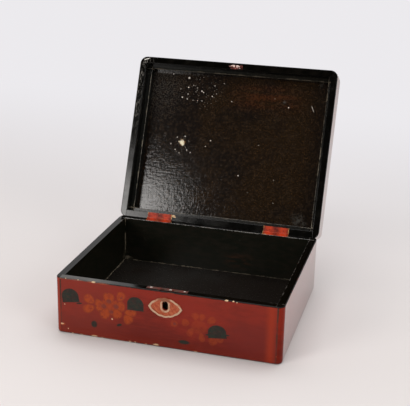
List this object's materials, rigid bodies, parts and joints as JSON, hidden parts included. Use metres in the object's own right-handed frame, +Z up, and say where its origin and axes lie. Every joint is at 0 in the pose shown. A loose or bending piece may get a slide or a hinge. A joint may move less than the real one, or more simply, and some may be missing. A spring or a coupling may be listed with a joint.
{
  "type": "lacquered ink box",
  "caption": "Red lacquered wooden writing box with a black interior, a hinged lid that stands open against bevelled back edges, and a hook lock with a leaf shaped keyhole plate.",
  "frame": {"origin": "middle of the box's flat base, without the lid", "axes": "+Z up, +X to the right along the front, +Y from the keyhole side to the hinge side"},
  "size_m": [0.252, 0.3142, 0.2524],
  "materials": {
    "red_lacquer": "red lacquer over wood, black on the rims and inside, worn",
    "black_lacquer": "black lacquer, brushed, semi gloss",
    "bamboo": "bare bamboo",
    "painted_brass": "red lacquered brass, worn to bare metal at its raised parts",
    "lock_brass": "aged brass",
    "spring_steel": "tempered steel strip"
  },
  "bodies": {
    "base": {"front_wall": "red_lacquer", "back_wall": "red_lacquer", "left_wall": "red_lacquer", "right_wall": "red_lacquer", "bottom_panel": "black_lacquer", "corner_pegs": "bamboo", "floor_pegs": "bamboo", "hinge_leaf_body_left": "painted_brass", "hinge_leaf_body_right": "painted_brass", "hinge_screws_body": "painted_brass", "escutcheon": "painted_brass", "lock_plate": "painted_brass", "hinge_pin_left": "lock_brass", "hinge_pin_right": "lock_brass", "lock_case": "lock_brass", "lock_key_pin": "lock_brass", "lock_bolt_stud": "lock_brass", "lock_screws": "lock_brass", "lock_spring": "spring_steel"},
    "lid": {"lid_left_rail": "red_lacquer", "lid_right_rail": "red_lacquer", "lid_front_rail": "red_lacquer", "lid_back_rail": "red_lacquer", "lid_panel": "red_lacquer", "lid_fillet_left": "black_lacquer", "lid_fillet_right": "black_lacquer", "lid_fillet_front": "black_lacquer", "lid_fillet_back": "black_lacquer", "lid_corner_pegs": "bamboo", "hinge_leaf_lid_left": "painted_brass", "hinge_leaf_lid_right": "painted_brass", "hinge_screws_lid": "painted_brass", "link_plate": "painted_brass", "link_screw": "painted_brass"},
    "bolt": {"lock_bolt": "lock_brass"}
  },
  "joints": [
    {"name": "lid_hinge", "type": "hinge", "parent": "base", "child": "lid", "pos_m": [0, 0.1007, 0.06545], "axis": [1, 0, 0], "range_deg": [0, 113.5]},
    {"name": "bolt_slide", "type": "slide", "parent": "base", "child": "bolt", "axis": [1, 0, 0], "range_m": [0, 0.0025]}
  ]
}
